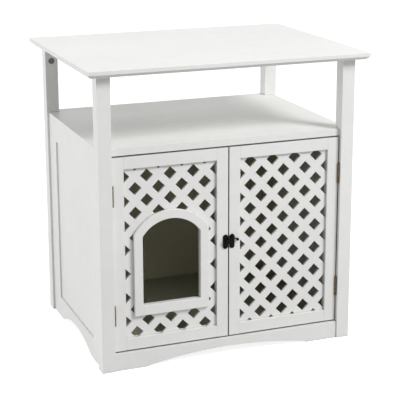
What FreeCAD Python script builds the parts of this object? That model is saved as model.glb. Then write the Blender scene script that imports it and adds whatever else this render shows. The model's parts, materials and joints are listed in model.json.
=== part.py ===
import FreeCAD, Part

import math
import os
import re

import Sketcher

# Cat litter box cabinet. Millimetres, +Z up, front towards -Y.
# The origin is at the bottom centre of the box round the whole cabinet.

DRIVING_SIZES = {
    # tabletop
    "top_width": 650,
    "top_depth": 500,
    "top_thickness": 15,
    "top_bevel_drop": 6.5,
    "top_bevel_inset": 7.5,
    "overall_height": 675,
    "side_overhang": 25,
    "front_overhang": 25,
    "rear_overhang": 19,
    # posts, shelf and floor
    "post_size": 30,
    "shelf_top_height": 500,
    "shelf_thickness": 15,
    "shelf_front_setback": 10,
    "shelf_rear_setback": 2,
    "floor_top_height": 40,
    "floor_thickness": 12,
    # aprons
    "apron_thickness": 15,
    "apron_setback": 3,
    "apron_foot": 78,
    "apron_step": 2,
    "apron_rise": 20,
    # side frames
    "side_setback": 5,
    "side_thickness": 15,
    "side_stile": 56,
    "side_top_rail": 45,
    "side_low_rail": 50,
    "side_rise": 26,
    "side_arch_radius": 295,
    "side_panel_setback": 4,
    "side_panel_thickness": 5,
    "groove_depth": 6,
    # back
    "back_setback": 13,
    "back_thickness": 5,
    # doors
    "door_setback": 9,
    "door_thickness": 15,
    "door_side_gap": 2.5,
    "door_centre_gap": 3,
    "door_low_gap": 3,
    "door_top_gap": 3.5,
    "door_stile": 26,
    "door_rail": 27,
    "lattice_setback": 6,
    "lattice_thickness": 6,
    "lattice_hole": 29.5,
    "lattice_rise": 54.75,
    "lattice_start": 8.7,
    "stop_size": 12,
    "stop_gap": 0.5,
    # cat entrance and its trim
    "entrance_width": 134,
    "entrance_sill": 73,
    "entrance_straight": 157,
    "entrance_radius": 81,
    "trim_width": 20,
    "trim_sill": 23.5,
    "trim_thickness": 8,
    "trim_liner": 3,
    "trim_liner_clearance": 0.3,
    # hinges
    "hinge_length": 45,
    "hinge_end_distance": 84,
    "hinge_leaf": 1.2,
    "hinge_leaf_depth": 15,
    "knuckle_diameter": 4.2,
    "knuckle_clearance": 0.3,
    "knuckle_gap": 0.4,
    "hinge_pin_diameter": 2,
    "hinge_pin_clearance": 0.2,
    "hinge_pin_head": 3.6,
    "hinge_pin_head_height": 0.8,
    # latch
    "latch_height": 266.5,
    "latch_plate_width": 12,
    "latch_plate_length": 33,
    "latch_plate_thickness": 1.5,
    "latch_edge_distance": 0.3,
    "stud_drop": 2,
    "stud_diameter": 3.6,
    "stud_length": 5.5,
    "stud_collar_diameter": 7,
    "stud_collar_height": 1,
    "hook_clearance": 0.6,
    "hook_finger": 3,
    "hook_back_turn": 18,
    "hook_tip_turn": 14,
    "hook_throat_turn": 20,
    "slot_back_turn": 8,
    "lever_thickness": 1.6,
    "lever_standoff": 3,
    "lever_hub_diameter": 9,
    "lever_arm_diameter": 3,
    "lever_ball_diameter": 6.8,
    "lever_ball_reach": 13.4,
    "lever_ball_angle": 29,
    "pivot_diameter": 3,
    "pivot_clearance": 0.2,
    "pivot_head_diameter": 6,
    "pivot_head_height": 1.2,
    "plate_screw_inset": 4,
    "plate_screw_diameter": 2,
    "plate_screw_length": 9,
    "plate_screw_head": 3.6,
    "plate_screw_head_height": 0.8,
    # fasteners
    "hinge_screw_diameter": 2.4,
    "hinge_screw_head": 4.4,
    "hinge_screw_length": 12,
    "cam_diameter": 15,
    "cam_depth": 11.5,
    "cam_end_distance": 36,
    "cam_slot_length": 10,
    "cam_slot_width": 2.5,
    "cam_slot_depth": 2,
    "cam_bolt_diameter": 6,
    "cam_bolt_in_top": 10,
    "dowel_diameter": 8,
    "dowel_length": 24,
    "shelf_dowel_rise": 9,
}

# Sizes and places worked out from the driving sizes.
DERIVED_SIZES = {
    "post_out_x": "top_width / 2 - side_overhang",
    "post_in_x": "post_out_x - post_size",
    "post_mid_x": "post_out_x - post_size / 2",
    "front_y": "front_overhang - top_depth / 2",
    "rear_y": "top_depth / 2 - rear_overhang",
    "front_post_in_y": "front_y + post_size",
    "rear_post_in_y": "rear_y - post_size",
    "side_mid_y": "(front_post_in_y + rear_post_in_y) / 2",
    "side_length": "rear_post_in_y - front_post_in_y",
    "post_height": "overall_height - top_thickness",
    "shelf_under": "shelf_top_height - shelf_thickness",
    "floor_under": "floor_top_height - floor_thickness",
    "side_out_x": "post_out_x - side_setback",
    "side_in_x": "side_out_x - side_thickness",
    "side_panel_out_x": "side_out_x - side_panel_setback",
    "side_panel_in_x": "side_panel_out_x - side_panel_thickness",
    "side_rail_length": "side_length - 2 * side_stile",
    "apron_out_y": "front_y + apron_setback",
    "apron_in_y": "apron_out_y + apron_thickness",
    "rear_apron_out_y": "rear_y - apron_setback",
    "rear_apron_in_y": "rear_apron_out_y - apron_thickness",
    "back_out_y": "rear_y - back_setback",
    "back_in_y": "back_out_y - back_thickness",
    "door_front_y": "front_y + door_setback",
    "door_back_y": "door_front_y + door_thickness",
    "door_out_x": "post_in_x - door_side_gap",
    "door_in_x": "door_centre_gap / 2",
    "door_mid_x": "(door_out_x + door_in_x) / 2",
    "door_low_z": "floor_top_height + door_low_gap",
    "door_high_z": "shelf_under - door_top_gap",
    "opening_out_x": "door_out_x - door_stile",
    "opening_in_x": "door_in_x + door_stile",
    "opening_width": "opening_out_x - opening_in_x",
    "opening_low_z": "door_low_z + door_rail",
    "opening_high_z": "door_high_z - door_rail",
    "lattice_front_y": "door_front_y + lattice_setback",
    "lattice_back_y": "lattice_front_y + lattice_thickness",
    "entrance_low_z": "opening_low_z + entrance_sill",
    "entrance_high_z": "entrance_low_z + entrance_straight",
    "trim_front_y": "lattice_front_y - trim_thickness",
    "hinge_axis_x": "post_in_x - knuckle_diameter / 2 - knuckle_clearance",
    "hinge_axis_y": "door_front_y - knuckle_diameter / 2 - knuckle_clearance",
    "latch_mid_x": "door_in_x + latch_edge_distance + latch_plate_width / 2",
    "latch_face_y": "door_front_y - latch_plate_thickness",
    "pivot_z": "latch_height + latch_plate_length / 2 - latch_plate_width / 2",
    "stud_z": "latch_height - stud_drop",
    "stud_across": "2 * latch_mid_x",
    "stud_down": "pivot_z - stud_z",
    "stud_reach": "sqrt(stud_across ^ 2 + stud_down ^ 2)",
    "lever_back_y": "latch_face_y - lever_standoff",
    "lever_front_y": "lever_back_y - lever_thickness",
    "hook_slot": "stud_diameter / 2 + hook_clearance",
    "side_arch_half": "side_rail_length / 2",
    "side_arch_total_radius": "(side_arch_half ^ 2 + side_rise ^ 2) / (2 * side_rise)",
    "side_turn_y": "side_arch_radius * side_arch_half / side_arch_total_radius",
    "side_turn_z": "side_rise * (1 - side_arch_radius / side_arch_total_radius)",
    "apron_arch_half": "post_in_x - apron_foot",
    "apron_sag": "apron_rise - apron_step",
    "apron_arch_radius": "(apron_arch_half ^ 2 + apron_sag ^ 2) / (2 * apron_sag)",
    "arch_centre_z": "entrance_high_z - sqrt(entrance_radius ^ 2 - (entrance_width / 2) ^ 2)",
    "cam_z": "post_height - cam_end_distance",
}

LATTICE_COLUMNS = 4
SCREWS_PER_LEAF = 2
KNUCKLES_PER_HINGE = 5
HINGE_HEIGHTS = {
    "upper": "(door_high_z - hinge_end_distance)",
    "lower": "(door_low_z + hinge_end_distance)",
}
SIDES = {"left": -1, "right": 1}
HALF_TURN = "half turn"

doc = FreeCAD.newDocument("LitterBoxCabinet")
sheet = doc.addObject("Spreadsheet::Sheet", "Sizes")
for row, (alias, size) in enumerate(DRIVING_SIZES.items(), start=1):
    sheet.set(f"A{row}", alias)
    sheet.set(f"B{row}", str(size))
    sheet.setAlias(f"B{row}", alias)
doc.recompute()

sub_parts = []


def bound(text):
    """Turn a formula of named sizes into an expression on the sheet's cells."""
    def swap(match):
        word = match.group(0)
        if word in DERIVED_SIZES:
            return f"({bound(DERIVED_SIZES[word])})"
        return f"Sizes.{word}" if word in DRIVING_SIZES else word

    return re.sub(r"[a-z]+(?:_[a-z]+)+", swap, str(text))


def size_of(text):
    """The number that a formula of named sizes gives."""
    return float(sheet.evalExpression(bound(text)))


def sub_part(label, shape_object):
    """Name an object that is a separate piece of the cabinet."""
    shape_object.Label = label
    sub_parts.append(shape_object)
    return shape_object


def sided(side, formula):
    """A place across the cabinet: side is -1 on the left and 1 on the right."""
    return f"{side} * ({formula})"


# ---- sketches and features ----------------------------------------------------------------

def new_sketch(body, plane, place_along):
    """A sketch on one of the body's own origin planes, moved to a place along X, Y or Z."""
    support = next(item for item in body.Origin.OriginFeatures if item.Role == f"{plane}_Plane")
    sketch = body.newObject("Sketcher::SketchObject", f"{body.Name}_sketch")
    sketch.AttachmentSupport = [(support, "")]
    sketch.MapMode = "FlatFace"
    normal_sign = -1 if plane == "XZ" else 1
    sketch.setExpression("AttachmentOffset.Base.z", bound(f"{normal_sign} * ({place_along})"))
    return sketch


def bind(sketch, constraint, formula):
    """Add a constraint and bind it to a formula of named sizes."""
    index = sketch.addConstraint(constraint)
    sketch.setExpression(f"Constraints[{index}]", bound(formula))


def fix_point(sketch, edge, end, across, up):
    """Bind the two coordinates of one end of an edge."""
    bind(sketch, Sketcher.Constraint("DistanceX", -1, 1, edge, end, size_of(across)), across)
    bind(sketch, Sketcher.Constraint("DistanceY", -1, 1, edge, end, size_of(up)), up)


def arc_through(start, finish, radius):
    """An arc between two points, with its centre on the left of the chord if the radius is positive."""
    chord = finish - start
    rise = math.sqrt(max(radius ** 2 - (chord.Length / 2) ** 2, 0))
    left = FreeCAD.Vector(-chord.y, chord.x, 0).normalize()
    centre = (start + finish) * 0.5 + left * math.copysign(rise, radius)
    circle = Part.Circle(centre, FreeCAD.Vector(0, 0, 1), abs(radius))
    first, last = (start, finish) if radius > 0 else (finish, start)
    return Part.ArcOfCircle(circle, circle.parameter(first), circle.parameter(last))


def add_outline(sketch, corners):
    """Draw a closed outline. A corner is (across, up), or (across, up, radius) where the edge that
    leaves it is an arc: a positive radius has its centre on the left of the edge, and HALF_TURN
    is a half circle, anticlockwise, over a level chord."""
    points = [FreeCAD.Vector(size_of(corner[0]), size_of(corner[1]), 0) for corner in corners]
    edges = []
    for index, corner in enumerate(corners):
        start = points[index]
        finish = points[(index + 1) % len(points)]
        if len(corner) == 2:
            edges.append((sketch.addGeometry(Part.LineSegment(start, finish)), 1, 2))
            continue
        half_turn = corner[2] == HALF_TURN
        radius = start.distanceToPoint(finish) / 2 if half_turn else size_of(corner[2])
        edge = sketch.addGeometry(arc_through(start, finish, radius))
        edges.append((edge, 1, 2) if radius > 0 else (edge, 2, 1))
        if half_turn:
            bind(sketch, Sketcher.Constraint("DistanceY", -1, 1, edge, 3, start.y), corner[1])
        else:
            bind(sketch, Sketcher.Constraint("Radius", edge, abs(radius)), f"abs({corner[2]})")
    for index, corner in enumerate(corners):
        edge, begin, _ = edges[index]
        before, _, stop = edges[index - 1]
        sketch.addConstraint(Sketcher.Constraint("Coincident", before, stop, edge, begin))
        fix_point(sketch, edge, begin, corner[0], corner[1])


def through(body, kind, plane, middle, thickness, *outlines):
    """Pad or pocket outlines, half of the thickness to each side of the sketch."""
    sketch = new_sketch(body, plane, middle)
    for corners in outlines:
        add_outline(sketch, corners)
    feature = body.newObject(f"PartDesign::{kind}", f"{body.Name}_{kind.lower()}")
    feature.Profile = sketch
    feature.SideType = "Symmetric"
    feature.setExpression("Length", bound(thickness))
    return feature


def pad(body, plane, first, last, *outlines):
    """Pad outlines between two places along the sketch's normal."""
    middle = f"(({first}) + ({last})) / 2"
    return through(body, "Pad", plane, middle, f"abs(({last}) - ({first}))", *outlines)


def pocket(body, plane, first, last, *outlines):
    """Cut outlines away between two places along the sketch's normal."""
    middle = f"(({first}) + ({last})) / 2"
    return through(body, "Pocket", plane, middle, f"abs(({last}) - ({first}))", *outlines)


def rectangle(left, right, low, high):
    """The corners of a rectangle."""
    return [(left, low), (right, low), (right, high), (left, high)]


def stadium(middle, centre, width, length):
    """An upright outline with round ends."""
    left = f"{middle} - {width} / 2"
    right = f"{middle} + {width} / 2"
    low = f"{centre} - ({length} - {width}) / 2"
    high = f"{centre} + ({length} - {width}) / 2"
    return [(left, low, HALF_TURN), (right, low), (right, high, HALF_TURN), (left, high)]


def round_outline(across, up, diameter):
    """A circle as two half circles."""
    left = f"{across} - ({diameter}) / 2"
    right = f"{across} + ({diameter}) / 2"
    return [(left, up, HALF_TURN), (right, up, HALF_TURN)]


def new_body(name):
    """An empty body."""
    return doc.addObject("PartDesign::Body", name)


def padded_body(name, plane, first, last, *outlines):
    """A body made of one pad."""
    body = new_body(name)
    pad(body, plane, first, last, *outlines)
    return body


def place(shape_object, x, y, z, axis="Z"):
    """Put an object's origin at a point, with its own Z axis along X, Y, Z, -X, -Y or -Z."""
    toward = FreeCAD.Vector(*[float(letter == axis[-1]) for letter in "XYZ"])
    if axis.startswith("-"):
        toward = -toward
    shape_object.Placement.Rotation = FreeCAD.Rotation(FreeCAD.Vector(0, 0, 1), toward)
    for letter, formula in (("x", x), ("y", y), ("z", z)):
        shape_object.setExpression(f"Placement.Base.{letter}", bound(formula))


def rod(name, diameter, length, x, y, z, axis="Z"):
    """A cylinder that starts at a point and runs along an axis."""
    cylinder = doc.addObject("Part::Cylinder", name)
    cylinder.setExpression("Radius", bound(f"({diameter}) / 2"))
    cylinder.setExpression("Height", bound(length))
    place(cylinder, x, y, z, axis)
    return cylinder


def block(name, left, right, front, rear, low, high):
    """A box between two places along each axis."""
    box = doc.addObject("Part::Box", name)
    box.setExpression("Length", bound(f"({right}) - ({left})"))
    box.setExpression("Width", bound(f"({rear}) - ({front})"))
    box.setExpression("Height", bound(f"({high}) - ({low})"))
    place(box, left, front, low)
    return box


def group(name, members):
    """Several separate solids in one object."""
    compound = doc.addObject("Part::Compound", name)
    compound.Links = members
    return compound


def joined(name, members):
    """Several solids fused into one."""
    fusion = doc.addObject("Part::MultiFuse", name)
    fusion.Shapes = members
    fusion.Refine = True
    return fusion


def without(name, base, *tools):
    """A piece with other objects, such as its screws, taken out of it one after another."""
    result = base
    for number, tool in enumerate(tools, start=1):
        cut = doc.addObject("Part::Cut", f"{name}_{number}")
        cut.Base = result
        cut.Tool = tool
        result = cut
    return result


# ---- fasteners ----------------------------------------------------------------------------

def flat_head_screw(name, x, y, z, axis):
    """A countersunk hinge screw, with its head's flat face at the point."""
    head = doc.addObject("Part::Cone", f"{name}_head")
    head.setExpression("Radius1", bound("hinge_screw_head / 2"))
    head.setExpression("Radius2", bound("hinge_screw_diameter / 2"))
    head.setExpression("Height", bound("hinge_leaf"))
    place(head, x, y, z, axis)
    shank = rod(f"{name}_shank", "hinge_screw_diameter", "hinge_screw_length", x, y, z, axis)
    return joined(name, [head, shank])


def round_head_screw(name, x, z):
    """A small plate screw, driven into the front of a door."""
    head = rod(f"{name}_head", "plate_screw_head", "plate_screw_head_height",
               x, "latch_face_y - plate_screw_head_height", z, "Y")
    shank = rod(f"{name}_shank", "plate_screw_diameter", "plate_screw_length", x, "latch_face_y", z, "Y")
    return joined(name, [head, shank])


def leaf_screws(side_name, where):
    """The screws of one side's two hinges, in the post or in the door."""
    side = SIDES[side_name]
    start = "post_in_x - hinge_leaf" if where == "post" else "door_out_x + hinge_leaf"
    outward = side if where == "post" else -side
    screws = []
    for level, middle in HINGE_HEIGHTS.items():
        for count in range(SCREWS_PER_LEAF):
            height = f"{middle} + ({count + 0.5} / {SCREWS_PER_LEAF} - 0.5) * hinge_length"
            screws.append(flat_head_screw(
                f"{side_name}_{where}_screw_{level}_{count}", sided(side, start),
                "door_front_y + hinge_leaf_depth / 2", height, "X" if outward > 0 else "-X"))
    return screws


def post_middle_y(row):
    """The middle of a post, front to rear."""
    return "(front_y + post_size / 2)" if row == "front" else "(rear_y - post_size / 2)"


def cam_disc(side_name, row):
    """The drum of a cam lock, let into the face of a post that looks into the cabinet."""
    face_y = "front_post_in_y" if row == "front" else "rear_post_in_y"
    return rod(f"cam_disc_{row}_{side_name}", "cam_diameter", "cam_depth",
               sided(SIDES[side_name], "post_mid_x"), face_y, "cam_z", "-Y" if row == "front" else "Y")


def cam_nut(side_name, row, disc):
    """A cam lock drum with its screwdriver slot."""
    middle = sided(SIDES[side_name], "post_mid_x")
    face_y = "front_post_in_y" if row == "front" else "rear_post_in_y"
    slot = block(f"cam_slot_{row}_{side_name}",
                 f"{middle} - cam_slot_length / 2", f"{middle} + cam_slot_length / 2",
                 f"{face_y} - cam_slot_depth", f"{face_y} + cam_slot_depth",
                 "cam_z - cam_slot_width / 2", "cam_z + cam_slot_width / 2")
    return without(f"cam_nut_{row}_{side_name}", disc, slot)


def cam_bolt(side_name, row):
    """The bolt that comes down from the tabletop into a cam lock."""
    return rod(f"cam_bolt_{row}_{side_name}", "cam_bolt_diameter", "cam_end_distance + cam_bolt_in_top",
               sided(SIDES[side_name], "post_mid_x"), post_middle_y(row), "cam_z")


def shelf_dowel(side_name, row):
    """A dowel between a side frame and the shelf."""
    place_y = "front_post_in_y + side_stile / 2" if row == "front" else "rear_post_in_y - side_stile / 2"
    return rod(f"shelf_dowel_{side_name}_{row}", "dowel_diameter", "dowel_length",
               sided(SIDES[side_name], "(side_out_x + side_in_x) / 2"), place_y,
               "shelf_under + shelf_dowel_rise - dowel_length")


def apron_dowel(side_name, row):
    """A dowel between an apron and a post."""
    faces = "apron_out_y + apron_in_y" if row == "front" else "rear_apron_out_y + rear_apron_in_y"
    return rod(f"apron_dowel_{side_name}_{row}", "dowel_diameter", "dowel_length",
               f"{sided(SIDES[side_name], 'post_in_x')} - dowel_length / 2", f"({faces}) / 2",
               "floor_top_height / 2", "X")


# ---- carcass ------------------------------------------------------------------------------

def make_tabletop():
    """The top board, with a bevel all round its under edge."""
    body = padded_body("tabletop_board", "XY", "post_height", "overall_height",
                       rectangle("-top_width / 2", "top_width / 2", "-top_depth / 2", "top_depth / 2"))
    doc.recompute()
    slab = body.Tip
    under = size_of("post_height")
    names = [f"Edge{number}" for number, edge in enumerate(slab.Shape.Edges, start=1)
             if all(abs(vertex.Z - under) < 0.01 for vertex in edge.Vertexes)]
    bevel = body.newObject("PartDesign::Chamfer", "tabletop_bevel")
    bevel.Base = (slab, names)
    bevel.ChamferType = "Two distances"
    bevel.setExpression("Size", bound("top_bevel_drop"))
    bevel.setExpression("Size2", bound("top_bevel_inset"))
    return body


def make_post(side_name, row, tools):
    """A square post. The rear ones have a groove for the back panel."""
    side = SIDES[side_name]
    front, rear = ("front_y", "front_post_in_y") if row == "front" else ("rear_post_in_y", "rear_y")
    outer = sided(side, "post_out_x")
    inner = sided(side, "post_in_x")
    body = padded_body(f"post_{row}_{side_name}_body", "XY", "0", "post_height",
                       rectangle(inner, outer, front, rear))
    if row == "rear":
        pocket(body, "XY", "floor_top_height", "shelf_under",
               rectangle(inner, sided(side, "post_in_x + groove_depth"), "back_in_y", "back_out_y"))
    return without(f"post_{row}_{side_name}_drilled", body, *tools)


def notched_outline(half_width, front, rear):
    """A board's outline between and round the four posts."""
    right_half = [
        ("post_in_x", front),
        ("post_in_x", "front_post_in_y"),
        (half_width, "front_post_in_y"),
        (half_width, "rear_post_in_y"),
        ("post_in_x", "rear_post_in_y"),
        ("post_in_x", rear),
    ]
    left_half = [(f"-({across})", along) for across, along in reversed(right_half)]
    return right_half + left_half


def make_apron(row):
    """A board between two posts at the floor, its lower edge a long arch between stepped feet."""
    front, rear = ("apron_out_y", "apron_in_y") if row == "front" else ("rear_apron_in_y", "rear_apron_out_y")
    outline = [
        ("-post_in_x", "0"),
        ("-apron_arch_half", "0"),
        ("-apron_arch_half", "apron_step", "-apron_arch_radius"),
        ("apron_arch_half", "apron_step"),
        ("apron_arch_half", "0"),
        ("post_in_x", "0"),
        ("post_in_x", "floor_top_height"),
        ("-post_in_x", "floor_top_height"),
    ]
    return padded_body(f"{row}_apron_body", "XZ", front, rear, outline)


def grooved_section(outer, inner, groove_floor, face, back, groove_face, groove_back):
    """The section of a frame member, as (across, deep) corners, with a groove in its inner edge."""
    return [
        (outer, face),
        (inner, face),
        (inner, groove_face),
        (groove_floor, groove_face),
        (groove_floor, groove_back),
        (inner, groove_back),
        (inner, back),
        (outer, back),
    ]


def swapped(corners):
    """The same outline with its two directions exchanged."""
    return [(second, first) for first, second in corners]


def side_section(side, outer, inner, groove_floor):
    """The section of a member of a side frame, as (across, deep) corners."""
    return grooved_section(outer, inner, groove_floor, sided(side, "side_out_x"), sided(side, "side_in_x"),
                           sided(side, "side_panel_out_x"), sided(side, "side_panel_in_x"))


def make_side_stile(side_name, row):
    """An upright of a side frame, from the floor to the shelf."""
    outer, inner, floor = {
        "front": ("front_post_in_y", "front_post_in_y + side_stile",
                  "front_post_in_y + side_stile - groove_depth"),
        "rear": ("rear_post_in_y", "rear_post_in_y - side_stile",
                 "rear_post_in_y - side_stile + groove_depth"),
    }[row]
    return padded_body(f"{side_name}_side_stile_{row}_body", "XY", "0", "shelf_under",
                       swapped(side_section(SIDES[side_name], outer, inner, floor)))


def make_side_rail(side_name, level):
    """A cross member of a side frame, with tongues that fill the stiles' grooves. The lower one's
    lower edge is an arch that runs out in reverse curves at the floor."""
    side = SIDES[side_name]
    outer, inner, floor = {
        "top": ("shelf_under", "shelf_under - side_top_rail", "shelf_under - side_top_rail + groove_depth"),
        "bottom": ("0", "side_low_rail", "side_low_rail - groove_depth"),
    }[level]
    body = padded_body(f"{side_name}_side_rail_{level}_body", "XZ", "side_mid_y - side_rail_length / 2",
                       "side_mid_y + side_rail_length / 2", swapped(side_section(side, outer, inner, floor)))
    pad(body, "XZ", "side_mid_y - side_rail_length / 2 - groove_depth",
        "side_mid_y + side_rail_length / 2 + groove_depth",
        rectangle(sided(side, "side_panel_out_x"), sided(side, "side_panel_in_x"), outer, floor))
    if level == "bottom":
        end_radius = "side_arch_total_radius - side_arch_radius"
        pocket(body, "YZ", sided(side, "side_out_x"), sided(side, "side_in_x"), [
            ("side_mid_y - side_arch_half", "0", end_radius),
            ("side_mid_y - side_turn_y", "side_turn_z", "-side_arch_radius"),
            ("side_mid_y + side_turn_y", "side_turn_z", end_radius),
            ("side_mid_y + side_arch_half", "0"),
        ])
    return body


def make_side_panel(side_name):
    """The thin panel held in a side frame's grooves."""
    side = SIDES[side_name]
    outline = rectangle("side_mid_y - side_rail_length / 2 - groove_depth",
                        "side_mid_y + side_rail_length / 2 + groove_depth",
                        "side_low_rail - groove_depth", "shelf_under - side_top_rail + groove_depth")
    return padded_body(f"{side_name}_side_panel_body", "YZ", sided(side, "side_panel_out_x"),
                       sided(side, "side_panel_in_x"), outline)


# ---- hinges -------------------------------------------------------------------------------

def knuckle_span(level, number):
    """The lower and upper height of one knuckle of a hinge."""
    middle = HINGE_HEIGHTS[level]
    pitch = f"hinge_length / {KNUCKLES_PER_HINGE}"
    low = f"{middle} - hinge_length / 2 + {number} * {pitch} + knuckle_gap / 2"
    high = f"{middle} - hinge_length / 2 + {number + 1} * {pitch} - knuckle_gap / 2"
    return low, high


def make_leaf(side_name, level, where, screws):
    """One leaf of a butt hinge: a plate on the post or the door, with its own knuckles on the pin."""
    side = SIDES[side_name]
    name = f"{side_name}_{level}_{where}_leaf"
    middle = HINGE_HEIGHTS[level]
    start = "post_in_x - hinge_leaf" if where == "frame" else "door_out_x"
    edges = sorted((sided(side, start), sided(side, f"{start} + hinge_leaf")), key=size_of)
    plate_y = "hinge_axis_y + knuckle_diameter / 2 + knuckle_clearance + hinge_pin_clearance / 2"
    pieces = [block(f"{name}_plate", *edges, plate_y, "door_front_y + hinge_leaf_depth",
                    f"{middle} - hinge_length / 2", f"{middle} + hinge_length / 2")]
    first = 0 if where == "frame" else 1
    bores = []
    for number in range(first, KNUCKLES_PER_HINGE, 2):
        low, high = knuckle_span(level, number)
        pieces.append(rod(f"{name}_knuckle_{number}", "knuckle_diameter", f"({high}) - ({low})",
                          sided(side, "hinge_axis_x"), "hinge_axis_y", low))
        pieces.append(block(f"{name}_neck_{number}", *edges, "hinge_axis_y", plate_y, low, high))
        bores.append(rod(f"{name}_bore_{number}", "hinge_pin_diameter + 2 * hinge_pin_clearance",
                         f"({high}) - ({low})", sided(side, "hinge_axis_x"), "hinge_axis_y", low))
    return without(f"{name}_drilled", joined(f"{name}_body", pieces), group(f"{name}_bores", bores), *screws)


def make_hinge_pin(side_name, level):
    """A hinge pin with a small head at each end."""
    middle = HINGE_HEIGHTS[level]
    axis_x = sided(SIDES[side_name], "hinge_axis_x")
    name = f"{side_name}_{level}_pin"
    low = f"{middle} - hinge_length / 2"
    high = f"{middle} + hinge_length / 2"
    return joined(f"{name}_body", [
        rod(f"{name}_shaft", "hinge_pin_diameter", "hinge_length", axis_x, "hinge_axis_y", low),
        rod(f"{name}_foot", "hinge_pin_head", "hinge_pin_head_height", axis_x, "hinge_axis_y",
            f"{low} - hinge_pin_head_height"),
        rod(f"{name}_top", "hinge_pin_head", "hinge_pin_head_height", axis_x, "hinge_axis_y", high),
    ])


# ---- doors --------------------------------------------------------------------------------

def door_section(outer, inner, groove_floor):
    """The section of a door frame member, as (across, deep) corners."""
    return grooved_section(outer, inner, groove_floor, "door_front_y", "door_back_y",
                           "lattice_front_y", "lattice_back_y")


def make_door_stile(side_name, which):
    """An upright of a door frame, grooved for the lattice panel."""
    side = SIDES[side_name]
    outer, inner, floor = {
        "hinge": ("door_out_x", "opening_out_x", "opening_out_x + groove_depth"),
        "meeting": ("door_in_x", "opening_in_x", "opening_in_x - groove_depth"),
    }[which]
    return padded_body(f"{side_name}_door_{which}_stile_body", "XY", "door_low_z", "door_high_z",
                       door_section(*[sided(side, formula) for formula in (outer, inner, floor)]))


def make_door_rail(side_name, level):
    """A cross member of a door frame, with tongues that fill the stiles' grooves."""
    side = SIDES[side_name]
    outer, inner, floor = {
        "top": ("door_high_z", "opening_high_z", "opening_high_z + groove_depth"),
        "bottom": ("door_low_z", "opening_low_z", "opening_low_z - groove_depth"),
    }[level]
    body = padded_body(f"{side_name}_door_rail_{level}_body", "YZ", sided(side, "opening_in_x"),
                       sided(side, "opening_out_x"), swapped(door_section(outer, inner, floor)))
    pad(body, "YZ", sided(side, "opening_in_x - groove_depth"), sided(side, "opening_out_x + groove_depth"),
        rectangle("lattice_front_y", "lattice_back_y", *sorted((outer, floor), key=size_of)))
    return body


def repeat_across_and_up(body, feature, columns, column_step, rows, row_step, downward):
    """Repeat a pocket in columns and rows."""
    sketch = feature.Profile[0]
    patterns = []
    for axis, count, step in (("H_Axis", columns, column_step), ("V_Axis", rows, row_step)):
        pattern = body.newObject("PartDesign::LinearPattern", f"{feature.Name}_{axis[0]}")
        pattern.Direction = (sketch, [axis])
        pattern.Occurrences = count
        pattern.setExpression("Length", bound(f"{count - 1} * ({step})"))
        pattern.Reversed = axis == "V_Axis" and downward
        patterns.append(pattern)
    grid = body.newObject("PartDesign::MultiTransform", f"{feature.Name}_grid")
    grid.Originals = [feature]
    grid.Transformations = patterns
    body.Tip = grid


def diamond(across, up):
    """A square hole of the lattice, set on its corner."""
    return [
        (f"{across} - lattice_hole / 2", up),
        (across, f"{up} - lattice_hole / 2"),
        (f"{across} + lattice_hole / 2", up),
        (across, f"{up} + lattice_hole / 2"),
    ]


def cut_lattice(body, side):
    """Cut the square holes in two interleaved grids. The grid starts above the opening of the left
    door and below the opening of the right one."""
    half_pitch = f"(opening_width / {2 * LATTICE_COLUMNS})"
    downward = side < 0
    edge_z = "opening_high_z" if downward else "opening_low_z"
    reach = size_of("opening_high_z - opening_low_z + lattice_start + lattice_hole / 2")
    for shift in (0, 1):
        columns = LATTICE_COLUMNS if shift else LATTICE_COLUMNS + 1
        first_row = "0" if shift else "lattice_rise / 2"
        rows = 1 + math.floor((reach - size_of(first_row)) / size_of("lattice_rise"))
        start_x = f"{sided(side, 'door_mid_x')} - opening_width / 2 + {shift} * {half_pitch}"
        sign = 1 if downward else -1
        start_z = f"{edge_z} + {sign} * (lattice_start - {first_row})"
        hole = pocket(body, "XZ", "lattice_front_y", "lattice_back_y", diamond(start_x, start_z))
        repeat_across_and_up(body, hole, columns, f"2 * {half_pitch}", rows, "lattice_rise", downward)


def entrance_outline(margin="0", sill_margin=None):
    """The arched cat entrance, grown by a margin, which may differ below the sill."""
    half = f"(entrance_width / 2 + {margin})"
    radius = f"(entrance_radius + {margin})"
    low = f"entrance_low_z - ({sill_margin or margin})"
    high = f"arch_centre_z + sqrt({radius} ^ 2 - {half} ^ 2)"
    return [
        (f"-door_mid_x - {half}", low),
        (f"-door_mid_x + {half}", low),
        (f"-door_mid_x + {half}", high, radius),
        (f"-door_mid_x - {half}", high),
    ]


def fill_beside_entrance(body):
    """Leave the board whole where the outer holes would run under the sides of the trim."""
    half_pitch = f"(opening_width / {2 * LATTICE_COLUMNS})"
    reach = f"(opening_width / 2 - {half_pitch})"
    top = size_of("opening_high_z + lattice_start")
    rise = size_of("lattice_rise")
    highest = size_of("entrance_high_z - lattice_hole / 2")
    lowest = size_of("entrance_low_z + lattice_hole / 2")
    for row in range(math.ceil((top - highest) / rise), 1 + math.floor((top - lowest) / rise)):
        up = f"opening_high_z + lattice_start - {row} * lattice_rise"
        for across in (f"-door_mid_x - {reach}", f"-door_mid_x + {reach}"):
            pad(body, "XZ", "lattice_front_y", "lattice_back_y", diamond(across, up))


def make_lattice(side_name):
    """A lattice panel, cut from one board. The left one has the cat entrance."""
    side = SIDES[side_name]
    edges = sorted((sided(side, "opening_in_x - groove_depth"), sided(side, "opening_out_x + groove_depth")),
                   key=size_of)
    body = padded_body(f"{side_name}_door_lattice_body", "XZ", "lattice_front_y", "lattice_back_y",
                       rectangle(*edges, "opening_low_z - groove_depth", "opening_high_z + groove_depth"))
    cut_lattice(body, side)
    if side_name == "left":
        fill_beside_entrance(body)
        pocket(body, "XZ", "lattice_front_y", "lattice_back_y",
               entrance_outline("trim_liner + trim_liner_clearance"))
    return body


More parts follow.
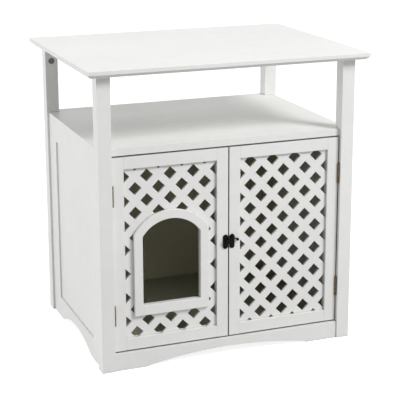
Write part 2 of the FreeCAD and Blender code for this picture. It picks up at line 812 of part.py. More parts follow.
def make_entrance_trim():
    """The flat arched frame on the lattice round the cat entrance, with a lip that lines the cut
    through the lattice."""
    body = padded_body("entrance_trim_body", "XZ", "trim_front_y", "lattice_front_y",
                       entrance_outline("trim_width", "trim_sill"), entrance_outline())
    pad(body, "XZ", "lattice_front_y", "lattice_back_y", entrance_outline("trim_liner"), entrance_outline())
    return body


# ---- latch --------------------------------------------------------------------------------

def make_latch_plate(side_name, tools):
    """A plate with round ends on the front of a door's meeting stile."""
    body = padded_body(f"{side_name}_latch_plate_body", "XZ", "latch_face_y", "door_front_y",
                       stadium(sided(SIDES[side_name], "latch_mid_x"), "latch_height",
                               "latch_plate_width", "latch_plate_length"))
    return without(f"{side_name}_latch_plate_drilled", body, *tools)


def make_stud():
    """The stud of the catch plate that the hook drops over."""
    middle = sided(SIDES["left"], "latch_mid_x")
    return joined("catch_stud_body", [
        rod("catch_stud_collar", "stud_collar_diameter", "stud_collar_height",
            middle, "latch_face_y", "stud_z", "-Y"),
        rod("catch_stud_post", "stud_diameter", "stud_length", middle, "latch_face_y", "stud_z", "-Y"),
    ])


def make_pivot():
    """The lever's pivot: a boss on the plate, a shaft through lever and plate, and a head."""
    middle = sided(SIDES["right"], "latch_mid_x")
    head_y = "lever_front_y - pivot_clearance"
    return joined("latch_pivot_body", [
        rod("pivot_boss", "pivot_head_diameter", "lever_standoff - pivot_clearance",
            middle, "latch_face_y", "pivot_z", "-Y"),
        rod("pivot_shaft", "pivot_diameter", f"latch_face_y - ({head_y}) + plate_screw_length",
            middle, head_y, "pivot_z", "Y"),
        rod("pivot_head", "pivot_head_diameter", "pivot_head_height", middle, head_y, "pivot_z", "-Y"),
    ])


def about_pivot(radius, turn):
    """A point at a radius from the pivot, turned by an angle in degrees from the line to the stud."""
    across = f"(stud_down * sin({turn}) - stud_across * cos({turn})) / stud_reach"
    up = f"(-stud_down * cos({turn}) - stud_across * sin({turn})) / stud_reach"
    return f"latch_mid_x + ({radius}) * {across}", f"pivot_z + ({radius}) * {up}"


def make_lever():
    """The latch lever: a hub, a hook with a slot that is round the pivot, and a ball on an arm."""
    body = new_body("latch_lever_plate")
    slot_outer = "(stud_reach + hook_slot)"
    slot_inner = "(stud_reach - hook_slot)"
    finger = "(stud_reach + hook_slot + hook_finger)"
    pad(body, "XZ", "lever_front_y", "lever_back_y", [
        ("latch_mid_x", "pivot_z"),
        (*about_pivot(finger, "-hook_back_turn"), finger),
        about_pivot(finger, "hook_tip_turn"),
        (*about_pivot(slot_outer, "hook_tip_turn"), f"-{slot_outer}"),
        about_pivot(slot_outer, "-slot_back_turn"),
        (*about_pivot(slot_inner, "-slot_back_turn"), slot_inner),
        about_pivot(slot_inner, "hook_throat_turn"),
    ])
    pad(body, "XZ", "lever_front_y", "lever_back_y",
        round_outline("latch_mid_x", "pivot_z", "lever_hub_diameter"))
    pocket(body, "XZ", "lever_front_y", "lever_back_y",
           round_outline("latch_mid_x", "pivot_z", "pivot_diameter + 2 * pivot_clearance"))
    middle_y = "(lever_front_y + lever_back_y) / 2"
    arm = rod("latch_lever_arm", "lever_arm_diameter", "lever_ball_reach - lever_arm_diameter",
              "latch_mid_x + lever_arm_diameter * cos(lever_ball_angle)", middle_y,
              "pivot_z - lever_arm_diameter * sin(lever_ball_angle)")
    arm.Placement.Rotation = FreeCAD.Rotation(FreeCAD.Vector(0, 1, 0), 90)
    arm.setExpression("Placement.Rotation.Angle", bound("90 + lever_ball_angle"))
    ball = doc.addObject("Part::Sphere", "latch_lever_ball")
    ball.setExpression("Radius", bound("lever_ball_diameter / 2"))
    place(ball, "latch_mid_x + lever_ball_reach * cos(lever_ball_angle)", middle_y,
          "pivot_z - lever_ball_reach * sin(lever_ball_angle)")
    return joined("latch_lever_body", [body, arm, ball])


# ---- assembly -----------------------------------------------------------------------------

post_names = [(side_name, row) for side_name in SIDES for row in ("front", "rear")]
discs = {name: cam_disc(*name) for name in post_names}
sub_part("cam_lock_nuts", group("cam_lock_nuts", [cam_nut(*name, discs[name]) for name in post_names]))
cam_bolts = sub_part("cam_bolts", group("cam_bolts", [cam_bolt(*name) for name in post_names]))
shelf_dowels = [shelf_dowel(*name) for name in post_names]
apron_dowels = [apron_dowel(*name) for name in post_names]
dowels = sub_part("wood_dowels", group("wood_dowels", shelf_dowels + apron_dowels))
post_screws = {side_name: leaf_screws(side_name, "post") for side_name in SIDES}
sub_part("hinge_screws_posts", group("hinge_screws_posts", post_screws["left"] + post_screws["right"]))
door_screws = {side_name: leaf_screws(side_name, "door") for side_name in SIDES}

sub_part("tabletop", without("tabletop_drilled", make_tabletop(), cam_bolts))
for side_name, row in post_names:
    tools = [discs[side_name, row], cam_bolts, dowels]
    if row == "front":
        tools += post_screws[side_name]
    sub_part(f"post_{row}_{side_name}", make_post(side_name, row, tools))

shelf_board = padded_body("shelf_board", "XY", "shelf_under", "shelf_top_height", notched_outline(
    "side_out_x", "front_y + shelf_front_setback", "rear_y - shelf_rear_setback"))
sub_part("shelf", without("shelf_drilled", shelf_board, dowels))
sub_part("floor_board", padded_body("floor_board_body", "XY", "floor_under", "floor_top_height",
                                    notched_outline("side_in_x", "apron_in_y", "rear_apron_in_y")))
sub_part("back_panel", padded_body("back_panel_body", "XZ", "back_in_y", "back_out_y", rectangle(
    "-post_in_x - groove_depth", "post_in_x + groove_depth", "floor_top_height", "shelf_under")))
for row in ("front", "rear"):
    sub_part(f"{row}_apron", without(f"{row}_apron_drilled", make_apron(row), dowels))
stop_front = "door_back_y + stop_gap"
sub_part("door_stop", padded_body("door_stop_body", "XZ", stop_front, f"{stop_front} + stop_size", rectangle(
    "-post_in_x", "post_in_x", "shelf_under - stop_size", "shelf_under")))

for side_name in SIDES:
    for row in ("front", "rear"):
        stile = make_side_stile(side_name, row)
        name = f"{side_name}_side_stile_{row}"
        sub_part(name, without(f"{name}_drilled", stile, dowels))
    for level in ("top", "bottom"):
        sub_part(f"{side_name}_side_rail_{level}", make_side_rail(side_name, level))
    sub_part(f"{side_name}_side_panel", make_side_panel(side_name))

for side_name in SIDES:
    name = f"hinge_screws_{side_name}_door"
    door_hinge_screws = sub_part(name, group(name, door_screws[side_name]))
    for level in HINGE_HEIGHTS:
        for where, screws in (("frame", post_screws[side_name]), ("door", door_screws[side_name])):
            sub_part(f"{side_name}_{level}_hinge_{where}_leaf", make_leaf(side_name, level, where, screws))
        sub_part(f"{side_name}_{level}_hinge_pin", make_hinge_pin(side_name, level))
    hinge_stile = make_door_stile(side_name, "hinge")
    sub_part(f"{side_name}_door_hinge_stile",
             without(f"{side_name}_door_hinge_stile_drilled", hinge_stile, door_hinge_screws))
    for level in ("top", "bottom"):
        sub_part(f"{side_name}_door_rail_{level}", make_door_rail(side_name, level))
    sub_part(f"{side_name}_door_lattice", make_lattice(side_name))
sub_part("entrance_trim", make_entrance_trim())

screw_reach = "(latch_plate_length / 2 - plate_screw_inset)"
low_screw_z = f"latch_height - {screw_reach}"
catch_x = sided(SIDES["left"], "latch_mid_x")
catch_screws = sub_part("catch_plate_screws", group("catch_plate_screws", [
    round_head_screw("catch_screw_low", catch_x, low_screw_z),
    round_head_screw("catch_screw_high", catch_x, f"latch_height + {screw_reach}"),
]))
latch_screw = sub_part("latch_plate_screw", round_head_screw("latch_screw_low", "latch_mid_x", low_screw_z))
pivot = sub_part("latch_pivot", make_pivot())
latch_tools = {"left": [catch_screws], "right": [latch_screw, pivot]}
for side_name, plate_name in (("left", "catch_plate"), ("right", "latch_plate")):
    sub_part(plate_name, make_latch_plate(side_name, latch_tools[side_name]))
    meeting_stile = make_door_stile(side_name, "meeting")
    sub_part(f"{side_name}_door_meeting_stile",
             without(f"{side_name}_door_meeting_stile_drilled", meeting_stile, *latch_tools[side_name]))
sub_part("catch_stud", make_stud())
sub_part("latch_lever", make_lever())

doc.recompute()

for item in doc.Objects:
    if "Invalid" in item.State or "Error" in item.State:
        raise RuntimeError(f"{item.Label} did not rebuild: {item.State}")
for piece in sub_parts:
    if piece.Shape.isNull() or not piece.Shape.isValid():
        raise RuntimeError(f"{piece.Label} has no valid shape")

os.makedirs("parts", exist_ok=True)
for piece in sub_parts:
    piece.Shape.exportStep(os.path.join("parts", f"{piece.Label}.step"))
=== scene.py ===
"""Looks of a cat litter box cabinet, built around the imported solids.

The boards are welded copies of the solids with softened edges. The tabletop, screws and other
small fittings are modelled here. Metres, +Z up, front towards -Y, origin on the floor.
"""

import contextlib
import functools
import json
import logging
import math
from collections.abc import Callable, Iterator, Mapping, Sequence
from dataclasses import dataclass, field
from enum import Enum
from typing import Any, Union

import bmesh
import bpy
from mathutils import Matrix, Vector


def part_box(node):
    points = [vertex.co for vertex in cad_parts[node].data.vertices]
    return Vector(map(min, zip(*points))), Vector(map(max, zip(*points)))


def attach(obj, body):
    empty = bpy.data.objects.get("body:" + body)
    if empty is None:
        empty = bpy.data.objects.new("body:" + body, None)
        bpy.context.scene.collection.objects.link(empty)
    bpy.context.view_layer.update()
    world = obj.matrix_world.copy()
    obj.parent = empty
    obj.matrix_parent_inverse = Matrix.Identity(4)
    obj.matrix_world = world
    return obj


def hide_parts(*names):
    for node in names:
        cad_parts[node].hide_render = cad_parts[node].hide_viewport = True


log = logging.getLogger("cabinet")
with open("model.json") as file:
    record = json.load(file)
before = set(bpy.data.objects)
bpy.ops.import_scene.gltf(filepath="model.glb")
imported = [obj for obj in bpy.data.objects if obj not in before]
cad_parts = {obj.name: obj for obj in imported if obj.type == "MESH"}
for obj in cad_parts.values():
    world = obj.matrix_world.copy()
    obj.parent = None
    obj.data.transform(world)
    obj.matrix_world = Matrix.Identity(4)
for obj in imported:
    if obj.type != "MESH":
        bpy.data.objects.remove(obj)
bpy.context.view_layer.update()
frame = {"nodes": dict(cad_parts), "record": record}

Colour = tuple[float, float, float]
Number = Union[float, "Signal"]
MM = 0.001

# The inside of the litter room, as its middle and half its size along each axis.
ROOM_MIDDLE = (0.0, 0.0055, 0.2625)
ROOM_HALF = (0.2808, 0.2077, 0.2227)


# ---- shader graphs ------------------------------------------------------------------------

class Signal:
    """What comes out of one node socket, with arithmetic that adds Math nodes."""

    def __init__(self, graph: "Graph", socket: bpy.types.NodeSocket) -> None:
        """Wrap a socket.

        Args:
            graph: The graph that the socket belongs to.
            socket: An output socket.
        """
        self.graph = graph
        self.socket = socket

    def _math(self, operation: str, *operands: Number, clamped: bool = False) -> "Signal":
        """Add a Math node.

        Args:
            operation: The node's operation.
            operands: Its inputs in order.
            clamped: Whether the result stays between 0 and 1.

        Returns:
            The node's result.
        """
        settings = {"operation": operation, "use_clamp": clamped}
        return self.graph.node("ShaderNodeMath", settings, dict(enumerate(operands)))

    def __add__(self, other: Number) -> "Signal":
        """Sum."""
        return self._math("ADD", self, other)

    __radd__ = __add__

    def __mul__(self, other: Number) -> "Signal":
        """Product."""
        return self._math("MULTIPLY", self, other)

    __rmul__ = __mul__

    def __sub__(self, other: Number) -> "Signal":
        """Difference."""
        return self._math("SUBTRACT", self, other)

    def __rsub__(self, other: Number) -> "Signal":
        """Difference from a number."""
        return self._math("SUBTRACT", other, self)

    def lesser(self, other: Number) -> "Signal":
        """The smaller of two values."""
        return self._math("MINIMUM", self, other)

    def greater(self, other: Number) -> "Signal":
        """The larger of two values."""
        return self._math("MAXIMUM", self, other)

    def within(self, low: float, high: float) -> "Signal":
        """Rescale so that low gives 0 and high gives 1, with a soft start and end.

        Args:
            low: The value that becomes 0.
            high: The value that becomes 1.

        Returns:
            The rescaled value.
        """
        values = {"Value": self, "From Min": low, "From Max": high}
        return self.graph.node("ShaderNodeMapRange", {"interpolation_type": "SMOOTHSTEP"}, values)


class Graph:
    """The node tree of one material."""

    def __init__(self, name: str) -> None:
        """Start an empty material.

        Args:
            name: The material's name.
        """
        self.material = bpy.data.materials.new(name)
        self.material.use_nodes = True
        self.tree = self.material.node_tree
        self.tree.nodes.clear()

    def node(self, kind: str, settings: Mapping[str, Any] | None = None,
             values: Mapping[Union[int, str], Any] | None = None, output: Union[int, str] = 0) -> Signal:
        """Add any node.

        Args:
            kind: The node's type name.
            settings: Its own settings, set before the sockets; "stops" fills a colour ramp.
            values: Numbers, colours or signals for its input sockets.
            output: The socket to read.

        Returns:
            The signal from that output.
        """
        made = self.tree.nodes.new(kind)
        for name, value in (settings or {}).items():
            if name == "stops":
                self._fill_ramp(made.color_ramp, value)
            else:
                setattr(made, name, value)
        for key, value in (values or {}).items():
            if isinstance(value, Signal):
                self.tree.links.new(value.socket, made.inputs[key])
            else:
                made.inputs[key].default_value = value
        return Signal(self, made.outputs[output])

    @staticmethod
    def _fill_ramp(ramp: bpy.types.ColorRamp, stops: Sequence[tuple[float, Colour]]) -> None:
        """Set a colour ramp's stops.

        Args:
            ramp: The ramp.
            stops: Places from 0 to 1 with their colours.
        """
        while len(ramp.elements) < len(stops):
            ramp.elements.new(1.0)
        for element, (place, colour) in zip(ramp.elements, stops):
            element.position = place
            element.color = (*colour, 1.0)

    def place(self, scale: Sequence[float] = (1.0, 1.0, 1.0)) -> Signal:
        """The point on the object, scaled along each axis.

        Args:
            scale: How much to stretch the pattern space.

        Returns:
            A vector signal.
        """
        here = self.node("ShaderNodeTexCoord", output="Object")
        return self.node("ShaderNodeMapping", values={"Vector": here, "Scale": tuple(scale)})

    def noise(self, where: Signal, scale: float, detail: float = 3.0, roughness: float = 0.5) -> Signal:
        """Noise from 0 to 1.

        Args:
            where: The point to read it at.
            scale: Features per metre.
            detail: Octaves.
            roughness: How strong the finer octaves are.

        Returns:
            The noise value.
        """
        values = {"Vector": where, "Scale": scale, "Detail": detail, "Roughness": roughness}
        return self.node("ShaderNodeTexNoise", values=values)

    def blend(self, factor: Number, first: Any, second: Any) -> Signal:
        """Mix two colours.

        Args:
            factor: 0 gives the first and 1 the second.
            first: A colour or colour signal.
            second: A colour or colour signal.

        Returns:
            The mixed colour.
        """
        first, second = ((*c, 1.0) if isinstance(c, tuple) else c for c in (first, second))
        return self.node("ShaderNodeMix", {"data_type": "RGBA"}, {0: factor, 6: first, 7: second}, 2)

    def edge_mask(self, radius: float) -> Signal:
        """Where the surface turns at an edge: 0 on a flat face, rising towards a sharp edge.

        Args:
            radius: How far from the edge it reaches, in metres.

        Returns:
            The mask.
        """
        rounded = self.node("ShaderNodeBevel", {"samples": 4}, {"Radius": radius})
        straight = self.node("ShaderNodeNewGeometry", output="Normal")
        alike = self.node("ShaderNodeVectorMath", {"operation": "DOT_PRODUCT"},
                          {0: rounded, 1: straight}, "Value")
        return (1.0 - alike).within(0.01, 0.16)

    def corner_mask(self, reach: float) -> Signal:
        """How closed in a point is, from ambient occlusion: 1 deep in a corner and 0 in the open. It places
        settled dirt and painted shade.

        Args:
            reach: How far away a wall still counts, in metres.

        Returns:
            The mask.
        """
        open_air = self.node("ShaderNodeAmbientOcclusion", {"samples": 6}, {"Distance": reach}, "AO")
        return (1.0 - open_air).within(0.15, 0.75)

    def bump(self, height: Signal, depth: float, under: Signal | None = None) -> Signal:
        """Turn a height into a surface normal.

        Args:
            height: Height from 0 to 1.
            depth: What a height of 1 is, in metres.
            under: A coarser normal that this one lies on.

        Returns:
            The bumped normal.
        """
        values: dict[Union[int, str], Any] = {"Height": height, "Distance": depth, "Strength": 1.0}
        if under is not None:
            values["Normal"] = under
        return self.node("ShaderNodeBump", values=values)

    def surface(self, values: Mapping[str, Any]) -> bpy.types.Material:
        """End the graph in a Principled shader.

        Args:
            values: Numbers, colours or signals for the shader's sockets.

        Returns:
            The finished material.
        """
        shader = self.node("ShaderNodeBsdfPrincipled", values=values)
        self.node_output(shader)
        return self.material

    def node_output(self, shader: Signal) -> None:
        """Send a shader to the material's output.

        Args:
            shader: The shader signal.
        """
        output = self.tree.nodes.new("ShaderNodeOutputMaterial")
        self.tree.links.new(shader.socket, output.inputs["Surface"])


class Axis(Enum):
    """The way a board's length and its brush marks run."""

    X = 0
    Y = 1
    Z = 2


@dataclass(frozen=True)
class SatinPaint:
    """White satin paint over board, with faint brush marks along the board. Narrow gaps are darkened nearly
    to black as painted shade, and corners a little, partly as settled dirt and partly as painted shade. On a
    board of the litter room, the faces that look into the room take a drab olive as painted shade for the dim
    room."""

    along: Axis
    lines_room: bool = False
    colour: Colour = (0.80, 0.80, 0.785)
    shade: Colour = (0.765, 0.763, 0.745)
    edge: Colour = (0.70, 0.685, 0.64)
    # Corner tone: partly settled dirt, partly painted shade.
    dust_and_corner_shade: Colour = (0.56, 0.55, 0.51)
    # Near-black painted shade for narrow gaps and tight inner corners.
    gap_shade: Colour = (0.10, 0.095, 0.085)
    # Drab olive painted shade for the faces inside the litter room.
    room_shade: Colour = (0.60, 0.58, 0.42)
    roughness: float = 0.44
    gap_shade_strength: float = 0.8

    def material(self) -> bpy.types.Material:
        """Build the paint's material."""
        graph = Graph(f"satin_paint_{self.along.name.lower()}{'_room' if self.lines_room else ''}")
        here = graph.place()
        brush_scale = [1.0, 1.0, 1.0]
        brush_scale[self.along.value] = 0.03
        brushed = graph.place(brush_scale)
        cloud = graph.noise(here, 4.0, 2.0)
        patch = graph.noise(here, 38.0, 4.0)
        brush = graph.noise(brushed, 620.0, 3.0, 0.6)
        stipple = graph.noise(here, 1500.0, 2.0)
        worn = graph.edge_mask(0.8 * MM) * patch.within(0.45, 0.75)
        # Corners within 14 mm are darkened a little: partly settled dirt, partly painted shade of the corner;
        # the dirt also dulls the paint.
        dusty_and_shaded = graph.corner_mask(14.0 * MM) * (0.35 + 0.65 * patch)
        tone = graph.blend((0.6 * cloud + 0.4 * patch).within(0.3, 0.7), self.colour, self.shade)
        if self.lines_room:
            # Painted shade: faces that look into the litter room turn a drab olive, standing in for the dim
            # light inside the closed room.
            tone = graph.blend(self._inside(graph, here), tone, self.room_shade)
        tone = graph.blend(0.45 * worn, tone, self.edge)
        tone = graph.blend(0.22 * dusty_and_shaded, tone, self.dust_and_corner_shade)
        # Painted shade: narrow gaps and tight inner corners are darkened almost to black, standing in for the
        # shadow deep inside them.
        tone = graph.blend(self.gap_shade_strength * graph.corner_mask(5.0 * MM).within(0.42, 0.85), tone, self.gap_shade)
        sheen = self.roughness + 0.10 * (patch - 0.5) + 0.06 * (brush - 0.5) + 0.1 * dusty_and_shaded
        relief = graph.bump(stipple, 0.015 * MM, graph.bump(brush, 0.03 * MM, graph.bump(cloud, 0.12 * MM)))
        return graph.surface({"Base Color": tone, "Roughness": sheen, "Normal": relief,
                              "Specular IOR Level": 0.42})

    def _inside(self, graph: Graph, here: Signal) -> Signal:
        """Where a point belongs to the litter room.

        Args:
            graph: The paint's graph.
            here: The point on the object.

        Returns:
            1 inside the room and 0 outside.
        """
        offset = graph.node("ShaderNodeVectorMath", {"operation": "SUBTRACT"}, {0: here, 1: ROOM_MIDDLE})
        spread = graph.node("ShaderNodeVectorMath", {"operation": "ABSOLUTE"}, {0: offset})
        beyond = graph.node("ShaderNodeVectorMath", {"operation": "SUBTRACT"}, {0: ROOM_HALF, 1: spread})
        apart = graph.node("ShaderNodeSeparateXYZ", values={0: beyond})
        across, deep, up = (Signal(graph, socket) for socket in apart.socket.node.outputs)
        least = across.lesser(deep).lesser(up)
        return least.within(-0.1 * MM, 0.1 * MM)


@dataclass(frozen=True)
class BlackEnamel:
    """Black enamel on the iron of the latch, worn thin on its edges, which are also lightened as a painted
    highlight.
    """

    colour: Colour = (0.0030, 0.0028, 0.0025)
    thin: Colour = (0.010, 0.0085, 0.0070)
    # The edge colour: bare iron showing through, together with a painted highlight.
    worn: Colour = (0.10, 0.095, 0.09)

    def material(self) -> bpy.types.Material:
        """Build the enamel's material."""
        graph = Graph("black_enamel")
        here = graph.place()
        patch = graph.noise(here, 420.0, 4.0)
        grain = graph.noise(here, 2600.0, 2.0)
        # Edges are lightened in random spots: partly wear down to the iron, partly a painted highlight.
        rubbed_and_highlit = graph.edge_mask(0.35 * MM) * patch.within(0.5, 0.72)
        tone = graph.blend(0.4 * rubbed_and_highlit, graph.blend(patch, self.colour, self.thin), self.worn)
        return graph.surface({"Base Color": tone, "Metallic": 0.6 * rubbed_and_highlit,
                              "Roughness": 0.30 + 0.16 * patch, "Normal": graph.bump(grain, 0.015 * MM),
                              "Specular IOR Level": 0.06})


@dataclass(frozen=True)
class AgedBrass:
    """Brass plate gone brown, brighter where the knuckles rub."""

    colour: Colour = (0.20, 0.14, 0.075)
    tarnish: Colour = (0.06, 0.042, 0.028)

    def material(self) -> bpy.types.Material:
        """Build the brass's material."""
        graph = Graph("aged_brass")
        here = graph.place()
        patch = graph.noise(here, 260.0, 5.0, 0.6)
        lines = graph.noise(graph.place((1.0, 1.0, 0.05)), 3000.0, 2.0)
        bright = graph.edge_mask(0.4 * MM)
        tone = graph.blend(patch.within(0.35, 0.68), self.colour, self.tarnish)
        tone = graph.blend(0.5 * bright, tone, self.colour)
        return graph.surface({"Base Color": tone, "Metallic": 1.0,
                              "Roughness": 0.32 + 0.25 * patch, "Normal": graph.bump(lines, 0.01 * MM)})


@dataclass(frozen=True)
class ZincPlate:
    """Dull zinc plating on the cam locks and their bolts."""

    colour: Colour = (0.20, 0.20, 0.20)
    dull: Colour = (0.10, 0.10, 0.105)
    shadowed: Colour = (0.01, 0.01, 0.01)

    def material(self) -> bpy.types.Material:
        """Build the plating's material."""
        graph = Graph("zinc_plate")
        here = graph.place()
        spangle = graph.noise(here, 500.0, 3.0)
        tone = graph.blend(spangle.within(0.35, 0.7), self.colour, self.dull)
        tone = graph.blend(0.9 * graph.corner_mask(2.5 * MM), tone, self.shadowed)
        return graph.surface({"Base Color": tone, "Metallic": 1.0, "Roughness": 0.36 + 0.2 * spangle,
                              "Normal": graph.bump(spangle, 0.02 * MM)})


@dataclass(frozen=True)
class Beech:
    """Plain turned beech of the dowels."""

    pale: Colour = (0.62, 0.44, 0.27)
    dark: Colour = (0.45, 0.29, 0.16)

    def material(self) -> bpy.types.Material:
        """Build the wood's material."""
        graph = Graph("beech")
        grain = graph.noise(graph.place((1.0, 1.0, 0.08)), 900.0, 4.0, 0.6)
        tone = graph.blend(grain.within(0.35, 0.7), self.pale, self.dark)
        return graph.surface({"Base Color": tone, "Roughness": 0.55 + 0.2 * grain,
                              "Normal": graph.bump(grain, 0.06 * MM)})


Finish = Union[SatinPaint, BlackEnamel, AgedBrass, ZincPlate, Beech]
SLOTS: dict[type, str] = {SatinPaint: "white_paint", BlackEnamel: "black_iron", AgedBrass: "antique_brass",
                          ZincPlate: "zinc_plate", Beech: "beech"}


@functools.cache
def material_of(finish: Finish) -> bpy.types.Material:
    """The one material of a finish.

    Args:
        finish: The finish.

    Returns:
        Its material, built the first time.
    """
    return finish.material()


# ---- modelling ----------------------------------------------------------------------------

def deselect_all() -> None:
    """Leave nothing selected and nothing active."""
    if bpy.context.object is not None and bpy.context.object.mode != "OBJECT":
        bpy.ops.object.mode_set(mode="OBJECT")
    bpy.ops.object.select_all(action="DESELECT")
    bpy.context.view_layer.objects.active = None


def make_active(piece: bpy.types.Object) -> None:
    """Select one object alone.

    Args:
        piece: The object.
    """
    deselect_all()
    piece.select_set(True)
    bpy.context.view_layer.objects.active = piece


@contextlib.contextmanager
def editing(piece: bpy.types.Object, mode: str = "FACE") -> Iterator[bmesh.types.BMesh]:
    """Edit mode on one object, with nothing selected at the start.

    Args:
        piece: The object to edit.
        mode: What is selected: VERT, EDGE or FACE.

    Yields:
        The mesh under edit, for selecting by place or normal.
    """
    make_active(piece)
    bpy.ops.object.mode_set(mode="EDIT")
    bpy.ops.mesh.select_mode(type=mode)
    bpy.ops.mesh.select_all(action="DESELECT")
    yield bmesh.from_edit_mesh(piece.data)
    bpy.ops.object.mode_set(mode="OBJECT")


def pick_faces(mesh: bmesh.types.BMesh, piece: bpy.types.Object,
               test: Callable[[bmesh.types.BMFace], bool]) -> None:
    """Select the faces that pass a test, and no others.

    Args:
        mesh: The mesh under edit.
        piece: Its object.
        test: Says whether a face is wanted.
    """
    for face in mesh.faces:
        face.select_set(test(face))
    bmesh.update_edit_mesh(piece.data)


def settle(piece: bpy.types.Object) -> None:
    """Put an object's place, turn and scale into its mesh.

    Args:
        piece: The object.
    """
    make_active(piece)
    bpy.ops.object.transform_apply(location=True, rotation=True, scale=True)


def soften(piece: bpy.types.Object, radius: float, segments: int = 2, sharper_than: float = 32.0) -> None:
    """Round an object's edges and shade it smooth between them.

    Args:
        piece: The object.
        radius: The edge's width, in metres.
        segments: Faces round each edge.
        sharper_than: The least angle of an edge that is rounded, in degrees.
    """
    make_active(piece)
    bevel = piece.modifiers.new("edges", "BEVEL")
    bevel.width = radius
    bevel.segments = segments
    bevel.limit_method = "ANGLE"
    bevel.angle_limit = math.radians(sharper_than)
    bpy.ops.object.modifier_apply(modifier=bevel.name)
    bpy.ops.object.shade_smooth()
    level = piece.modifiers.new("flat_faces", "WEIGHTED_NORMAL")
    level.weight = 100
    bpy.ops.object.modifier_apply(modifier=level.name)


def welded_copy(node: str) -> bpy.types.Object:
    """A copy of one solid with its loose triangles merged into whole faces.

    Args:
        node: The solid's name.

    Returns:
        The new object.
    """
    piece = bpy.data.objects.new(f"{node}_finished", frame["nodes"][node].data.copy())
    bpy.context.collection.objects.link(piece)
    with editing(piece, "VERT"):
        bpy.ops.mesh.select_all(action="SELECT")
        bpy.ops.mesh.customdata_custom_splitnormals_clear()
        bpy.ops.mesh.remove_doubles(threshold=0.002 * MM)
        bpy.ops.mesh.dissolve_limited(angle_limit=math.radians(0.3))
    return piece


def copy_of(pattern: bpy.types.Object, name: str, move: Matrix) -> bpy.types.Object:
    """A copy of a modelled piece with its own mesh, put in place.

    Args:
        pattern: The piece to copy, modelled at the origin.
        name: The copy's name.
        move: Where it goes.

    Returns:
        The copy.
    """
    piece = bpy.data.objects.new(name, pattern.data.copy())
    bpy.context.collection.objects.link(piece)
    piece.data.transform(move)
    return piece


def merged(name: str, parts: Sequence[bpy.types.Object]) -> bpy.types.Object:
    """Several objects joined into one.

    Args:
        name: The name of the result.
        parts: The objects, which are used up.

    Returns:
        The joined object.
    """
    deselect_all()
    for part in parts:
        part.select_set(True)
    bpy.context.view_layer.objects.active = parts[0]
    bpy.ops.object.join()
    parts[0].name = name
    return parts[0]


def carve(piece: bpy.types.Object, cutter: bpy.types.Object) -> None:
    """Cut one object out of another and delete the cutter.

    Args:
        piece: The object that is cut.
        cutter: The shape that is taken away.
    """
    make_active(piece)
    cut = piece.modifiers.new("recess", "BOOLEAN")
    cut.operation = "DIFFERENCE"
    cut.solver = "EXACT"
    cut.object = cutter
    bpy.ops.object.modifier_apply(modifier=cut.name)
    bpy.data.objects.remove(cutter)


def cross_cutter(span: float, width: float, depth: float) -> bpy.types.Object:
    """A cross at the origin, lying flat, that cuts the recess for a screwdriver.

    Args:
        span: From the end of one arm to the end of the other.
        width: How wide an arm is.
        depth: How thick the cross is; half of it lies below the origin.

    Returns:
        The cutter.
    """
    arms = []
    for size in ((span, width, depth), (width, span, depth)):
        bpy.ops.mesh.primitive_cube_add(size=1.0, scale=size)
        arms.append(bpy.context.object)
        settle(arms[-1])
    first, second = arms
    make_active(first)
    union = first.modifiers.new("arms", "BOOLEAN")
    union.operation = "UNION"
    union.object = second
    bpy.ops.object.modifier_apply(modifier=union.name)
    bpy.data.objects.remove(second)
    return first


def dress(piece: bpy.types.Object, finish: Finish) -> None:
    """Give an object one finish all over.

    Args:
        piece: The object.
        finish: The finish.
    """
    piece.data.materials.clear()
    piece.data.materials.append(material_of(finish))


def body_name(node: str) -> str:
    """The body that a solid rides on.

    Args:
        node: The solid's name.

    Returns:
        The body's name.
    """
    bodies = frame["record"]["behaviour"]["bodies"]
    return next(name for name, nodes in bodies.items() if node in nodes)


def install(piece: bpy.types.Object, finish: Finish, *nodes: str) -> None:
    """Finish a new piece, hang it on its body and let it stand for its solids.

    Args:
        piece: The new piece.
        finish: Its finish.
        nodes: The solids that it stands for.
    """
    dress(piece, finish)
    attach(piece, body_name(nodes[0]))
    SLOTS[type(finish)]
    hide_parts(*nodes)
    log.info("%s: %d faces, for %s", piece.name, len(piece.data.polygons), ", ".join(nodes))


def keep_solid(node: str, finish: Finish) -> None:
    """Keep a solid as it is and give it its finish.

    Args:
        node: The solid's name.
        finish: Its finish.
    """
    solid = frame["nodes"][node]
    for index in range(len(solid.material_slots)):
        solid.material_slots[index].material = material_of(finish)
    log.info("%s: kept, %s", node, type(finish).__name__)


@dataclass(frozen=True)
class Softened:
    """A piece that is its solid with softened edges."""

    node: str
    finish: Finish
    radius: float = 0.8 * MM
    segments: int = 2

    def build(self) -> None:
        """Make and install the piece."""
        piece = welded_copy(self.node)
        soften(piece, self.radius, self.segments)
        install(piece, self.finish, self.node)


# ---- sub-assemblies -----------------------------------------------------------------------

@dataclass
class Tabletop:
    """The top board with its undercut edge."""

    band: float = 8.5 * MM
    inset: float = 7.5 * MM
    edge_radius: float = 0.7 * MM

    def build(self) -> None:
        """Model the board from a block: extrude its under face down and draw it in."""
        low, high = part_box("tabletop")
        size = high - low
        deselect_all()
        bpy.ops.mesh.primitive_cube_add(size=1.0, location=((low.x + high.x) / 2, (low.y + high.y) / 2,
                                                            high.z - self.band / 2),
                                        scale=(size.x, size.y, self.band))
        board = bpy.context.object
        board.name = "tabletop_board"
        settle(board)
        with editing(board) as mesh:
            pick_faces(mesh, board, lambda face: face.normal.z < -0.5)
            bpy.ops.mesh.extrude_region_move(TRANSFORM_OT_translate={"value": (0, 0, self.band - size.z)})
            bpy.ops.transform.resize(value=(1 - 2 * self.inset / size.x, 1 - 2 * self.inset / size.y, 1))
        soften(board, self.edge_radius, 3, 25.0)
        install(board, SatinPaint(Axis.X), "tabletop")


